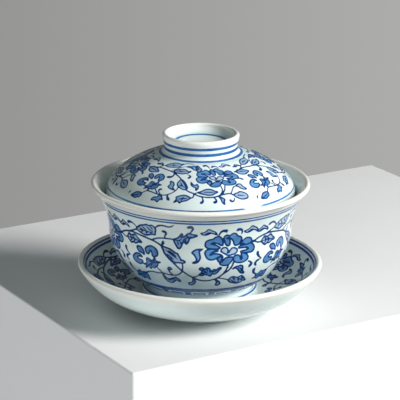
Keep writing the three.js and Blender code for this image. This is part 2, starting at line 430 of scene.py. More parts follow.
# Petals of the big flower, each with a fold that runs in from the side of the heart.
PEONY_PETALS = [
    [(-3.3, 5.0), (-5.2, 6.1), (-7.0, 6.6), (-8.3, 6.1), (-7.0, 5.7), (-5.6, 5.0), (-4.3, 3.9),
     (-5.6, 3.4), (-8.6, 3.7), (-10.2, 4.3), (-10.8, 5.6), (-10.3, 7.3), (-8.9, 8.2), (-7.6, 8.4),
     (-6.6, 9.3), (-5.4, 9.8), (-4.2, 9.2), (-3.5, 7.8), (-3.1, 6.4)],
    [(-5.2, 2.4), (-6.7, 2.2), (-7.9, 1.7), (-8.5, 0.5), (-7.2, 1.1), (-5.4, 1.1), (-3.9, 0.6),
     (-3.0, -0.3), (-4.4, -0.3), (-5.6, -0.9), (-6.9, -1.5), (-8.3, -1.6), (-9.7, -1.0),
     (-10.5, 0.4), (-10.8, 1.9), (-9.9, 3.1), (-8.1, 3.4), (-6.4, 3.1)],
    [(-2.9, 8.4), (-2.6, 9.6), (-1.6, 10.3), (-0.4, 9.7), (0.2, 10.3), (1.3, 10.9), (2.4, 10.5),
     (3.2, 9.3), (4.6, 8.7), (5.3, 7.6), (4.9, 6.2), (4.2, 5.0), (3.0, 4.5), (2.0, 5.1),
     (1.5, 6.7), (0.5, 8.1), (-0.8, 8.7), (-0.1, 7.2), (0.0, 5.8), (-0.3, 4.8), (-1.2, 4.8),
     (-1.9, 5.7), (-2.3, 7.0)],
    [(5.0, 4.6), (5.6, 6.0), (6.8, 7.3), (8.2, 7.7), (9.6, 7.2), (10.4, 6.0), (10.2, 4.9),
     (8.6, 4.4), (7.2, 4.4), (6.3, 5.0)],
    [(4.2, 3.1), (6.0, 2.9), (8.0, 2.8), (9.2, 2.2), (8.5, 1.7), (7.0, 1.5), (5.3, 1.3), (5.7, 0.5),
     (7.4, 0.4), (9.6, 0.2), (11.4, 0.5), (12.2, 1.9), (11.6, 3.4), (10.4, 4.5), (8.6, 4.3),
     (6.6, 4.1), (5.0, 4.0)],
    [(2.0, -2.0), (2.2, -0.9), (3.4, -0.2), (4.6, -0.6), (5.3, -1.8), (5.9, -2.7), (6.1, -1.6),
     (5.6, 0.0), (6.6, 0.4), (8.3, -0.5), (9.1, -1.8), (8.6, -3.2), (7.2, -4.0), (5.6, -4.2),
     (3.9, -3.9), (2.6, -3.2)],
    [(-3.4, -3.0), (-2.6, -1.9), (-1.4, -1.0), (0.0, -0.9), (1.4, -1.0), (1.8, -1.7), (1.2, -2.7),
     (0.4, -3.9), (-0.8, -4.7), (-2.4, -4.8), (-3.9, -4.1), (-4.4, -3.0), (-5.2, -2.0),
     (-5.3, -0.9), (-4.2, -0.4), (-3.0, -0.3), (-3.4, -1.6)],
]
PEONY_HEART = [(-3.9, 2.4), (-3.2, 3.6), (-2.0, 3.9), (-0.9, 3.2), (-0.5, 1.9), (0.3, 2.3),
               (1.0, 3.3), (2.2, 3.4), (3.4, 2.6), (3.6, 1.6), (2.6, 0.6), (1.0, 0.2),
               (-0.6, 0.1), (-1.9, 0.8), (-3.2, 1.7)]
PEONY_FOLDS = [(-7.7, 6.2), (-8.2, 0.9), (-1.3, 8.6), (6.2, 4.9), (10.1, 4.8), (8.8, 2.2),
               (5.8, -2.4), (-3.4, -2.7), (-4.9, -0.6), (-0.5, 1.5)]


def peony(brush):
    """The big flower, seen full face: folded petals round a two-lobed heart at (0, 2)."""
    for outline in PEONY_PETALS:
        brush.shape(outline, 0.82)
    for x, y in PEONY_FOLDS:
        brush.line([(x - 0.5, y - 0.1), (x + 0.5, y + 0.1)], 1.2, "belly")
    brush.shape(PEONY_HEART, 0.75, 0.5)


def side_flower(brush):
    """The small flower seen from the side: three petals over a star-shaped calyx at the origin."""
    brush.shape([(-8.2, 6.5), (-6.6, 7.0), (-5.2, 6.4), (-4.4, 5.2), (-4.0, 3.6), (-5.4, 4.2),
                 (-7.0, 4.6), (-7.8, 5.4)])
    brush.shape([(-3.3, 6.8), (-1.8, 8.0), (0.0, 8.4), (1.8, 7.6), (2.8, 6.4), (2.8, 4.6),
                 (1.6, 3.8), (0.4, 3.7), (0.1, 5.0), (-0.4, 6.2), (-1.2, 5.9), (-1.3, 5.0),
                 (-2.2, 4.4), (-3.2, 5.4)])
    brush.shape([(-5.4, 2.0), (-6.5, 3.2), (-8.2, 3.4), (-9.8, 2.6), (-11.2, 1.0), (-11.0, -0.8),
                 (-9.6, -1.8), (-7.6, -2.0), (-6.0, -1.0), (-5.6, 0.2), (-7.0, 0.4), (-8.4, 0.9),
                 (-8.2, 1.6), (-6.8, 2.2)])
    brush.shape([(-3.0, 2.0), (-1.8, 2.2), (0.0, 1.4), (1.4, 3.2), (1.8, 1.6), (4.0, 1.2),
                 (2.6, 0.4), (2.4, -0.8), (1.2, -1.6), (0.4, -2.6), (-0.6, -2.2), (-2.0, -3.4),
                 (-2.4, -2.0), (-4.6, -3.4), (-3.8, -1.8), (-5.4, -1.6), (-3.4, -0.6),
                 (-3.2, 0.8)], 0.7)
    for spoke in ((-2.6, 1.4), (-1.0, 1.6), (1.2, 2.0), (2.4, 0.8), (-3.2, -1.6), (-1.4, -1.8)):
        brush.line([(-0.2, 0.0), spoke], 0.75, "belly")
    brush.line([(1.8, -2.0), (3.0, -3.2), (4.0, -4.4)], 0.7)


def drawn_leaf(brush, outline, veins, depth=0.8):
    """A leaf with its outline and its veins drawn from given points."""
    brush.shape(outline, 0.85, depth)
    for vein in veins:
        brush.line(vein, 0.72, "belly")


def drop(brush, points, width=1.5):
    """A thin stalk that thickens into a drop of colour."""
    brush.line(points, 1.2 * width, "head")


def leaf(brush, length, width, depth=0.75):
    """A small pointed leaf along x from its stalk at the origin."""
    drawn_leaf(brush, [(0, 0), (0.2 * length, 0.42 * width), (0.4 * length, 0.4 * width),
                       (0.55 * length, 0.5 * width), (0.75 * length, 0.3 * width), (length, 0),
                       (0.7 * length, -0.36 * width), (0.5 * length, -0.5 * width),
                       (0.2 * length, -0.4 * width)],
               [[(0.1 * length, 0), (0.45 * length, 0.05 * width), (0.85 * length, 0)]], depth)


def sprig(brush, width=6.6, height=3.0):
    """A small winged spray, pointing up, standing on the origin."""
    w, h = 0.5 * width, height
    brush.shape([(-w, 0.3 * h), (-0.65 * w, 0.02 * h), (-0.2 * w, 0.05 * h), (0.3 * w, 0.3 * h),
                 (w, 0.0), (0.75 * w, 0.5 * h), (0.35 * w, 0.75 * h), (-0.05 * w, h),
                 (-0.3 * w, 0.7 * h), (-0.6 * w, 0.45 * h)], 0.65, 0.6)
    brush.line([(-0.5 * w, 0.15 * h), (0.0, 0.4 * h), (0.5 * w, 0.3 * h)], 0.6, "belly")


def bowl_scroll(brush):
    """One unit of the bowl's flower scroll, 65 mm long."""
    peony(brush)

    # the main stem, from under the flower to the back of the next one
    brush.line([(2.2, -3.4), (1.8, -5.0), (1.1, -6.6), (0.1, -8.0), (-1.5, -9.2), (-2.8, -10.4),
                (-4.0, -11.6), (-5.8, -12.6), (-8.0, -13.3), (-10.4, -13.6), (-12.6, -13.3),
                (-15.0, -12.3), (-17.0, -11.0), (-19.4, -9.2), (-21.8, -7.0), (-24.0, -4.6),
                (-26.6, -2.0), (-28.8, 0.6), (-29.8, 3.2), (-31.6, 4.7), (-34.4, 5.8),
                (-38.0, 6.6), (-41.0, 7.2), (-44.2, 7.7), (-47.5, 7.5), (-50.6, 6.6), (-53.0, 5.4)])
    brush.line([(-0.2, -4.8), (-0.6, -6.4), (-1.1, -7.8), (-1.9, -9.4)])
    brush.line([(-54.2, 5.1), (-52.4, 5.5)], 1.3, "belly")

    # the leaves of the main stem, from right to left
    drawn_leaf(brush, [(-30.0, 3.6), (-28.0, 3.2), (-26.5, 2.9), (-25.0, 2.0), (-23.8, 1.2),
                       (-22.8, 0.8), (-22.2, -0.2), (-21.5, -1.4), (-21.3, -2.2), (-20.4, -2.1),
                       (-19.4, -2.9), (-20.6, -3.5), (-22.4, -3.4), (-24.0, -3.4), (-25.6, -2.4),
                       (-27.2, -1.0), (-28.8, 0.4), (-29.5, 2.0)],
               [[(-28.4, 2.2), (-26.4, 0.8), (-24.6, -0.4), (-22.6, -1.9)],
                [(-27.0, 2.0), (-25.2, 0.9), (-23.4, -0.5)],
                [(-27.6, 0.2), (-26.0, -0.9), (-24.4, -2.0)]], 0.55)
    brush.line([(-20.8, -3.5), (-20.6, -5.2), (-20.9, -7.4)], 0.7)
    drop(brush, [(-29.8, 3.6), (-29.7, 4.5), (-29.3, 5.2)], 1.4)
    brush.line([(-34.6, 6.0), (-32.6, 7.0), (-30.4, 7.6), (-28.0, 7.8), (-24.2, 7.8)], 0.75)
    drawn_leaf(brush, [(-24.2, 7.8), (-22.8, 8.4), (-21.6, 9.6), (-20.5, 11.2), (-20.1, 9.4),
                       (-19.0, 10.2), (-17.8, 11.4), (-16.0, 10.9), (-14.1, 10.4), (-15.8, 9.4),
                       (-17.3, 8.8), (-17.9, 7.2), (-18.9, 5.8), (-19.8, 7.2), (-20.6, 5.8),
                       (-21.4, 3.9), (-22.4, 3.4), (-23.5, 5.2), (-24.1, 6.6)],
               [[(-23.6, 7.4), (-22.2, 7.2), (-20.8, 8.2)], [(-22.6, 6.6), (-22.2, 5.2)],
                [(-21.4, 7.0), (-21.0, 5.4)], [(-20.6, 10.2), (-20.9, 8.4)],
                [(-20.4, 7.6), (-18.8, 8.8), (-16.6, 9.8)], [(-19.2, 8.2), (-18.9, 6.8)],
                [(-18.4, 10.6), (-18.2, 9.2)]])
    drop(brush, [(-17.4, 11.3), (-16.4, 12.8), (-15.9, 14.2), (-16.6, 15.3), (-17.6, 14.8)], 1.5)
    drop(brush, [(-28.3, 8.0), (-28.0, 9.2), (-27.4, 10.3), (-27.7, 11.3), (-28.7, 11.4)], 1.4)
    brush.line([(-47.2, 7.6), (-44.4, 8.7), (-42.0, 9.8)], 0.75)
    drawn_leaf(brush, [(-42.2, 9.9), (-41.0, 11.2), (-39.4, 12.5), (-37.4, 13.2), (-35.6, 13.9),
                       (-34.8, 13.3), (-33.4, 13.9), (-32.3, 12.9), (-32.0, 11.6), (-32.4, 10.2),
                       (-32.7, 8.9), (-34.2, 8.9), (-35.8, 8.3), (-37.6, 7.8), (-39.4, 8.3),
                       (-41.0, 9.1)],
               [[(-41.0, 10.0), (-38.4, 10.2), (-35.6, 9.8), (-33.4, 10.0)],
                [(-40.0, 11.2), (-38.6, 10.4)], [(-38.4, 12.2), (-37.0, 10.6)],
                [(-36.2, 12.8), (-35.0, 11.2), (-33.4, 10.4)],
                [(-34.2, 13.0), (-33.4, 11.4)], [(-39.6, 9.0), (-38.4, 10.0)],
                [(-37.4, 8.6), (-36.2, 9.8)], [(-34.8, 9.4), (-34.0, 10.0)]], 0.55)
    brush.line([(-32.2, 12.2), (-31.2, 13.6), (-29.8, 14.5), (-28.0, 14.7), (-26.0, 14.3),
                (-24.6, 14.8), (-23.4, 15.7)], 1.1, "belly")
    brush.line([(-52.6, 5.0), (-50.8, 4.2), (-48.8, 4.1)], 0.7)
    drawn_leaf(brush, [(-48.8, 4.2), (-48.2, 5.6), (-47.2, 6.4), (-45.7, 5.9), (-44.2, 6.5),
                       (-43.0, 6.2), (-42.2, 5.2), (-40.2, 3.6), (-42.2, 3.2), (-43.8, 2.4),
                       (-45.2, 2.6), (-46.6, 2.1), (-47.8, 3.0)],
               [[(-48.0, 4.3), (-45.4, 4.4), (-41.6, 3.9)], [(-47.2, 5.6), (-46.0, 4.6)],
                [(-45.4, 5.4), (-44.2, 4.6)], [(-47.0, 3.0), (-45.8, 4.0)],
                [(-45.0, 3.1), (-43.8, 4.0)]], 0.6)

    # the side flower, its stem and the leaves of that stem
    side_flower(brush.at(-35.0, -5.6))
    brush.line([(-20.9, -7.8), (-22.0, -9.4), (-23.6, -10.5), (-25.2, -10.8), (-26.4, -10.0),
                (-27.2, -8.6), (-27.7, -7.3), (-27.0, -6.4), (-26.2, -6.9)], 0.8)
    drop(brush, [(-26.6, -6.4), (-26.1, -6.8), (-26.3, -7.4)], 1.2)
    brush.line([(-26.2, -11.0), (-28.2, -10.8), (-30.4, -10.3), (-33.6, -10.8), (-36.0, -10.6),
                (-38.0, -11.0), (-40.2, -12.0), (-41.8, -13.2)], 0.75)
    drawn_leaf(brush, [(-30.8, -10.8), (-30.6, -13.2), (-29.8, -14.9), (-28.4, -16.2), (-27.0, -16.1),
                       (-25.7, -15.0), (-24.6, -13.9), (-23.2, -14.7), (-22.4, -14.5),
                       (-23.4, -13.0), (-24.6, -12.3), (-26.2, -12.9), (-28.0, -13.6),
                       (-29.6, -13.0)],
               [[(-30.0, -13.4), (-27.8, -14.0), (-25.4, -13.2)], [(-29.0, -14.6), (-27.4, -14.4)]])
    drawn_leaf(brush, [(-40.4, -13.0), (-41.6, -12.3), (-43.4, -12.8), (-45.2, -12.0), (-46.2, -13.2),
                       (-48.0, -13.8), (-47.0, -14.8), (-48.8, -16.2), (-46.6, -16.2),
                       (-44.8, -17.2), (-42.8, -16.2), (-40.6, -17.2), (-40.2, -15.2)],
               [[(-41.6, -14.4), (-43.8, -14.4), (-46.8, -15.2)], [(-43.0, -13.4), (-43.6, -15.6)],
                [(-45.2, -13.4), (-45.4, -15.6)]], 1.0)

    # what hangs under the main stem
    drawn_leaf(brush, [(-16.2, -11.2), (-15.6, -12.6), (-15.2, -14.2), (-15.8, -15.8), (-17.2, -16.8),
                       (-18.4, -16.2), (-18.1, -15.0), (-16.9, -14.9), (-16.3, -13.6)], [])
    drawn_leaf(brush, [(-13.3, -9.7), (-12.2, -8.4), (-12.0, -7.4), (-13.2, -6.4), (-12.2, -5.5),
                       (-10.8, -6.4), (-9.6, -5.6), (-8.6, -6.3), (-7.6, -7.8), (-6.7, -6.7),
                       (-5.4, -6.9), (-4.2, -5.8), (-3.3, -6.2), (-4.3, -7.5), (-5.2, -8.8),
                       (-6.4, -9.5), (-7.4, -9.0), (-8.0, -10.5), (-9.4, -9.8), (-10.8, -9.6),
                       (-12.0, -10.2)],
               [[(-12.0, -6.6), (-10.8, -7.6), (-9.2, -9.0)], [(-9.8, -6.2), (-9.4, -7.8)],
                [(-12.2, -9.4), (-11.0, -8.6), (-9.8, -8.4)], [(-8.6, -7.0), (-8.2, -8.6)],
                [(-7.2, -8.4), (-6.0, -7.6), (-4.4, -6.6)]], 1.0)
    brush.line([(-16.6, -11.2), (-14.8, -10.9), (-13.2, -9.8)], 0.7)
    drawn_leaf(brush, [(-5.4, -13.0), (-4.2, -13.8), (-3.0, -15.2), (-3.0, -16.6), (-4.1, -17.4),
                       (-4.9, -16.4), (-4.6, -14.9)], [])
    brush.line([(-4.4, -12.0), (-1.6, -12.7), (0.4, -13.6), (1.6, -14.2)], 0.75)
    drawn_leaf(brush, [(1.2, -13.9), (2.2, -12.4), (3.4, -12.0), (4.7, -12.7), (6.2, -12.8),
                       (7.8, -12.2), (9.0, -13.2), (10.2, -14.5), (11.5, -16.3), (9.8, -15.9),
                       (8.9, -17.0), (6.7, -17.4), (4.8, -16.7), (3.0, -16.0), (1.8, -15.0)],
               [[(2.2, -13.6), (3.6, -15.0), (5.6, -16.2), (8.2, -16.6)],
                [(6.2, -13.4), (8.0, -14.6), (10.0, -15.7)], [(3.2, -12.8), (4.4, -13.9), (4.8, -15.0)],
                [(6.4, -13.2), (6.6, -14.6), (7.6, -15.8)], [(8.0, -12.9), (9.2, -14.6)]], 0.7)
    drawn_leaf(brush, [(2.2, -7.2), (3.2, -6.3), (4.9, -5.9), (6.6, -6.0), (7.3, -7.4), (7.5, -8.9),
                       (8.7, -10.7), (7.0, -10.3), (5.8, -9.1), (4.7, -7.7), (3.5, -6.9)],
               [[(4.8, -6.6), (6.2, -7.6), (7.0, -9.4)]])
    drop(brush, [(9.5, -4.0), (10.8, -4.8), (11.5, -6.0), (10.8, -6.8)], 1.6)

    # dabs between the flowers
    drawn_leaf(brush, [(-12.2, 3.4), (-14.6, 3.2), (-16.4, 1.8), (-15.7, 1.0), (-15.0, 0.0),
                       (-14.5, -1.2), (-14.6, -2.2), (-16.2, -3.2), (-14.2, -2.9), (-12.9, -0.9),
                       (-13.1, 1.0), (-13.3, 2.4)], [])
    drop(brush, [(-48.5, -3.8), (-49.6, -2.9), (-50.4, -1.7), (-50.7, -0.6)], 1.7)
    brush.line([(-48.8, -4.4), (-50.4, -5.0), (-51.1, -6.2), (-50.1, -7.7)], 1.5, "belly")
    drop(brush, [(-47.7, -13.4), (-49.4, -12.4), (-50.3, -11.4), (-50.6, -10.2)], 1.7)

    # small sprays along the top
    drop(brush, [(-5.0, 10.6), (-4.4, 12.0), (-3.4, 12.8), (-2.3, 12.7)], 1.7)
    drop(brush, [(5.0, 10.6), (4.8, 12.0), (3.8, 12.8), (2.9, 12.7)], 1.7)
    sprig(brush.at(-9.3, 10.7), 6.8, 3.2)
    sprig(brush.at(9.4, 10.4), 6.8, 3.4)
    sprig(brush.at(-49.4, 9.7), 6.4, 3.0)
    drop(brush, [(-41.9, 11.5), (-43.2, 12.7), (-44.8, 13.2), (-46.0, 12.6)], 1.6)


def lid_scroll(brush):
    """One unit of the lid's flower scroll, 56 mm long. Its middle is the middle of its flower."""
    peony(brush.at(-0.7, -1.8, size=(1.0, 0.76)))

    # the main stem
    brush.line([(2.0, -5.2), (1.5, -7.0), (0.6, -8.6), (-0.6, -9.8)], 0.75)
    brush.line([(0.2, -5.4), (0.3, -7.4), (-0.3, -8.8), (-1.2, -9.9)], 0.75)
    brush.line([(4.8, -10.7), (3.4, -9.6), (1.8, -9.5), (-0.8, -10.0), (-3.2, -10.7), (-6.0, -10.9),
                (-8.6, -10.5), (-10.6, -9.9), (-12.0, -9.0), (-13.8, -8.3), (-15.4, -7.3),
                (-16.0, -5.6), (-17.0, -3.8), (-18.4, -2.2), (-20.0, -0.6), (-21.6, 0.6),
                (-23.4, 1.6), (-25.4, 2.6), (-27.9, 3.2), (-31.0, 3.6), (-34.1, 4.0),
                (-37.8, 4.0), (-41.5, 3.1), (-44.2, 2.6)])

    # leaves on and under the main stem, from right to left
    brush.line([(3.6, -9.6), (4.4, -8.4), (5.2, -7.0), (6.4, -6.0), (7.6, -5.7)], 0.7)
    drawn_leaf(brush, [(7.4, -5.8), (8.6, -5.0), (10.0, -5.2), (10.5, -6.6), (11.6, -8.2),
                       (10.2, -8.2), (9.2, -7.6), (8.4, -6.6)], [], 0.6)
    drawn_leaf(brush, [(4.8, -10.8), (5.4, -9.8), (6.6, -9.6), (7.8, -9.1), (9.4, -9.8),
                       (10.6, -11.2), (10.3, -12.6), (8.8, -13.0), (7.2, -12.8), (6.0, -12.0)],
               [[(6.0, -10.8), (7.6, -11.0), (9.2, -11.6)]], 0.6)
    drop(brush, [(4.6, -12.0), (3.9, -13.3), (3.0, -13.5), (2.6, -12.8)], 1.3)
    drawn_leaf(brush, [(-1.6, -10.9), (-0.4, -11.4), (0.4, -12.2), (0.0, -13.4), (0.1, -14.6),
                       (-0.8, -13.6), (-1.1, -12.2)], [])
    drop(brush, [(-4.2, -10.8), (-3.2, -11.9), (-3.1, -13.0), (-3.8, -13.4)], 1.5)
    drop(brush, [(-9.0, -10.4), (-8.4, -11.7), (-8.4, -13.0), (-9.1, -13.5)], 1.5)
    drawn_leaf(brush, [(-10.4, -8.4), (-9.0, -7.8), (-7.7, -7.0), (-6.0, -6.5), (-4.4, -6.8),
                       (-3.3, -7.6), (-1.9, -8.2), (-3.2, -9.0), (-4.6, -9.7), (-6.4, -9.7),
                       (-8.0, -9.2)],
               [[(-8.0, -8.2), (-5.6, -8.2), (-3.4, -8.3)]], 0.7)
    brush.line([(-12.2, -9.0), (-10.2, -8.4)], 0.6)
    brush.line([(-12.1, -9.2), (-12.3, -10.8), (-13.6, -11.6)], 0.8)
    drawn_leaf(brush, [(-13.4, -11.4), (-14.2, -10.6), (-15.6, -10.0), (-17.0, -10.2),
                       (-18.4, -10.8), (-19.2, -11.4), (-18.9, -12.3), (-19.6, -13.9),
                       (-18.2, -13.1), (-17.5, -14.0), (-16.6, -13.2), (-15.0, -12.7)],
               [[(-14.6, -11.5), (-16.6, -11.8), (-18.2, -12.2)], [(-16.2, -10.9), (-16.8, -12.6)]])
    drawn_leaf(brush, [(-19.2, -1.4), (-18.2, -1.8), (-17.0, -3.0), (-15.8, -4.7), (-15.2, -6.2),
                       (-16.2, -7.2), (-18.0, -6.6), (-19.6, -5.6), (-20.4, -4.2), (-20.1, -2.6)],
               [[(-19.2, -3.0), (-18.2, -4.4), (-16.6, -6.0)], [(-19.4, -4.6), (-18.0, -5.6)]], 0.65)
    drawn_leaf(brush, [(-25.8, 3.6), (-24.0, 4.8), (-22.0, 5.4), (-20.0, 5.6), (-18.4, 5.1),
                       (-17.0, 4.3), (-15.2, 4.6), (-16.4, 3.4), (-18.0, 2.8), (-20.0, 2.3),
                       (-22.4, 2.4), (-24.4, 2.8)],
               [[(-24.0, 3.7), (-21.6, 4.0), (-18.6, 3.9)], [(-22.6, 4.6), (-21.4, 3.4)]], 0.7)
    drop(brush, [(-24.6, 1.9), (-24.5, 0.5), (-25.4, -0.6), (-26.6, -0.7)], 1.9)
    leaf(brush.at(-43.4, 2.2, -6), 8.6, 3.6)
    drawn_leaf(brush, [(-34.4, 6.4), (-32.6, 8.2), (-30.0, 9.2), (-27.0, 9.4), (-24.6, 9.1),
                       (-22.4, 9.4), (-23.5, 8.0), (-24.3, 6.8), (-26.4, 6.3), (-29.0, 5.9),
                       (-32.0, 5.7)],
               [[(-32.6, 7.0), (-29.6, 7.5), (-25.8, 7.8)], [(-30.0, 8.4), (-28.8, 6.8)]], 0.65)
    brush.line([(-37.8, 4.2), (-36.0, 5.6), (-34.4, 6.3)], 0.7)
    brush.line([(-23.0, 8.8), (-20.4, 10.0), (-17.8, 10.2), (-15.6, 10.0), (-13.4, 10.5)], 1.0, "belly")
    brush.line([(-27.6, 3.4), (-24.0, 5.9), (-20.6, 7.4), (-17.6, 7.6)], 0.6, "belly")
    drawn_leaf(brush, [(-19.0, 7.6), (-16.8, 8.2), (-15.6, 7.7), (-14.8, 8.6), (-13.4, 8.3),
                       (-12.6, 7.2), (-12.2, 5.8), (-13.4, 5.5), (-14.8, 6.4), (-16.2, 7.0)],
               [[(-15.6, 7.2), (-13.8, 7.0)]])
    drawn_leaf(brush, [(-12.2, 8.8), (-10.8, 8.2), (-9.6, 7.0), (-8.6, 6.2), (-9.6, 4.7),
                       (-10.8, 4.3), (-11.8, 5.2), (-11.4, 6.6)], [[(-11.2, 7.4), (-10.2, 5.6)]])

    # the side flower and its stem
    side_flower(brush.at(-31.2, -7.0, size=(0.88, 0.86)))
    brush.line([(-19.5, -5.6), (-19.7, -7.2), (-20.6, -8.6), (-22.2, -10.0), (-24.0, -10.9),
                (-26.0, -11.1), (-28.4, -10.9), (-30.4, -10.5), (-32.9, -10.4), (-34.2, -11.4),
                (-35.0, -12.4)], 0.75)
    drop(brush, [(-22.8, -10.4), (-22.9, -11.6), (-22.2, -12.7)], 1.8)
    drop(brush, [(-26.0, -11.0), (-27.3, -9.8), (-27.6, -8.6), (-26.8, -8.2)], 1.2)
    leaf(brush.at(-34.6, -12.6, 200), 5.2, 2.8, 0.9)
    drawn_leaf(brush, [(-26.4, -11.2), (-27.2, -12.4), (-28.6, -12.8), (-29.2, -14.2), (-27.6, -14.0),
                       (-26.4, -14.6), (-25.6, -13.2), (-24.6, -13.4), (-25.2, -12.0)], [], 0.9)

    # dabs between the flowers
    drawn_leaf(brush, [(-13.9, -2.8), (-13.2, -3.6), (-12.0, -4.4), (-11.0, -3.8), (-10.3, -5.0),
                       (-10.6, -6.4), (-11.4, -7.2), (-11.5, -5.8), (-12.6, -5.3), (-13.6, -4.4)], [])
    drawn_leaf(brush, [(-24.3, -3.1), (-22.6, -3.6), (-21.8, -5.0), (-21.9, -6.4), (-20.9, -7.7),
                       (-23.0, -7.2), (-24.3, -6.2), (-23.6, -4.8)], [])
    drop(brush, [(-16.8, 2.1), (-15.4, 1.6), (-14.9, 0.7), (-15.6, 0.1)], 1.4)
    drop(brush, [(10.4, -1.9), (11.8, -1.9), (12.6, -2.6)], 1.3)
    drop(brush, [(-40.8, -12.6), (-41.2, -13.4)], 1.3)
    drop(brush, [(-38.6, -14.0), (-38.0, -14.6)], 1.2)

    # small sprays along the top
    drop(brush, [(-3.3, 7.0), (-4.2, 8.3), (-5.6, 9.0), (-7.2, 8.8)], 1.7)
    drop(brush, [(3.0, 6.6), (1.9, 7.7), (0.2, 8.1), (-1.2, 7.9)], 1.4)
    sprig(brush.at(8.0, 7.0), 8.4, 2.6)
    sprig(brush.at(16.4, 5.6), 6.0, 1.8)


def lappet(brush, length):
    """One panel of the lappet band, painted in reserve on a dark ground."""
    half = 0.5 * length
    brush.wash([(-half - 1, 0.7), (half + 1, 0.7), (half + 1, 8.4), (-half - 1, 8.4)], 1.6)
    for side in (1, -1):
        brush.line([(side * half, 0.6), (side * half, 6.8)], 1.2)
        brush.line([(0, 6.0), (side * 2.6, 5.9), (side * 3.6, 5.0), (side * 3.1, 3.6),
                    (side * 3.6, 1.0)], 0.9, clear=True)
        brush.line([(0, 3.4), (side * 1.5, 3.3), (side * 1.6, 1.2)], 0.6, clear=True)


# ---- Charts: from the flat painting to the turned body ---------------------------------

class Sieve:
    """Points in a strip that repeats along x, kept only if none kept before is too near."""

    CELL = 0.6                      # points are looked up in square cells of this size

    def __init__(self, period):
        self.period, self.kept, self.cells = period, [], {}

    def cell(self, x, y):
        """The cell that a point is in."""
        return int(math.floor(x / self.CELL)), int(math.floor(y / self.CELL))

    def keep(self, x, y):
        """Keeps a point, and its copies beside the strip."""
        self.kept.append((x, y))
        for shift in (-self.period, 0.0, self.period):
            if -2 < x + shift < self.period + 2:
                self.cells.setdefault(self.cell(x + shift, y), []).append((x + shift, y))

    def offer(self, points, spacing, low, high):
        """Keeps each point between the heights low and high that has room round it."""
        reach = math.ceil(spacing / self.CELL)
        for x, y in points:
            if not low < y < high:
                continue
            x %= self.period
            i, j = self.cell(x, y)
            near = (p for a in range(i - reach, i + reach + 1)
                    for b in range(j - reach, j + reach + 1)
                    for p in self.cells.get((a, b), ()))
            if all((p[0] - x) ** 2 + (p[1] - y) ** 2 >= spacing ** 2 for p in near):
                self.keep(x, y)


def fine_points(brush, period, squeeze, step=0.42):
    """Points on and beside the rings, along the brush lines, and beside them and on outlines."""
    middles, edges, marks = [], [], []
    for y, half, _ in brush.work["rings"]:
        for side in (-1, 0, 1):
            x = np.arange(0.45 * (side % 2), period, 0.9)
            marks.append(np.stack([x, np.full_like(x, y + side * (half + GUARD))], 1))
    for path, half, _ in brush.work["lines"]:
        s = lengths(path)
        t = np.linspace(0, s[-1], max(3, math.ceil(s[-1] / step) + 1))
        line = np.stack([np.interp(t, s, path[:, k]) for k in (0, 1)], 1)
        width = np.interp(t, s, half)
        along = np.gradient(line, axis=0)
        k = squeeze(line[:, 1])
        along[:, 0] *= k
        along /= np.linalg.norm(along, axis=1)[:, None] + 1e-9
        middles.append(line)
        for side in (1, -1):
            across = np.stack([-along[:, 1] / k, along[:, 0]], 1)
            edges.append(line + side * (width[:, None] + GUARD) * across)
    for outline, _ in brush.work["washes"]:
        edges.append(outline[::2])
    return marks, middles, edges


def distance(points, path, half, squeeze):
    """How deep points lie inside a brush line: half its width less the distance to its middle."""
    scale = np.stack([squeeze, np.ones_like(squeeze)], 1)
    best = np.full(len(points), -9.0)
    for a, b, wa, wb in zip(path, path[1:], half, half[1:]):
        ab = (b - a) * scale
        ap = (points - a) * scale
        t = np.clip((ap * ab).sum(1) / ((ab ** 2).sum(1) + 1e-12), 0, 1)
        best = np.maximum(best, wa + (wb - wa) * t - np.linalg.norm(ap - t[:, None] * ab, axis=1))
    return best


def inside(points, outline):
    """Whether each point lies inside a closed outline."""
    x, y = points[:, 0], points[:, 1]
    odd = np.zeros(len(points), bool)
    for (x0, y0), (x1, y1) in zip(outline, np.roll(outline, -1, axis=0)):
        if y0 != y1:
            odd ^= ((y0 > y) != (y1 > y)) & (x < (x1 - x0) * (y - y0) / (y1 - y0) + x0)
    return odd


def near_box(points, path, margin):
    """Indices of the points within a margin of a path's bounding box."""
    low, high = path.min(0) - margin, path.max(0) + margin
    return np.flatnonzero(((points > low) & (points < high)).all(1))


def paint_values(points, brush, period, squeeze):
    """The values ink, wash and depth at chart points. Ink and wash are mm inside their edge."""
    ink = np.full(len(points), -FAR)
    wash = np.full(len(points), -FAR)
    depth = np.zeros(len(points))
    k = squeeze(points[:, 1])
    shifts = [np.array([n * period, 0.0]) for n in range(-2, 3)]
    for outline, strength in brush.work["washes"]:
        for shift in shifts:
            path = outline + shift
            near = near_box(points, path, 0.7)
            if len(near) == 0:
                continue
            edge = -distance(points[near], path, np.zeros(len(path)), k[near])
            signed = np.where(inside(points[near], path), edge, -edge)
            wash[near] = np.maximum(wash[near], signed)
            depth[near] = np.where(signed > -0.3, np.maximum(depth[near], strength), depth[near])
    for y, half, strength in brush.work["rings"]:
        inset = half - np.abs(points[:, 1] - y)
        wash = np.maximum(wash, inset)
        depth[inset > -0.3] = strength
    for path, half, clear in sorted(brush.work["lines"], key=lambda line: line[2]):
        for shift in shifts:
            near = near_box(points, path + shift, 1.2)
            if len(near) == 0:
                continue
            value = distance(points[near], path + shift, half, k[near])
            if clear:
                ink[near] = np.minimum(ink[near], -value)
                wash[near] = np.minimum(wash[near], -value)
            else:
                ink[near] = np.maximum(ink[near], value)
    return {"ink": np.clip(ink, -FAR, FAR), "wash": np.clip(wash, -FAR, FAR), "depth": depth}


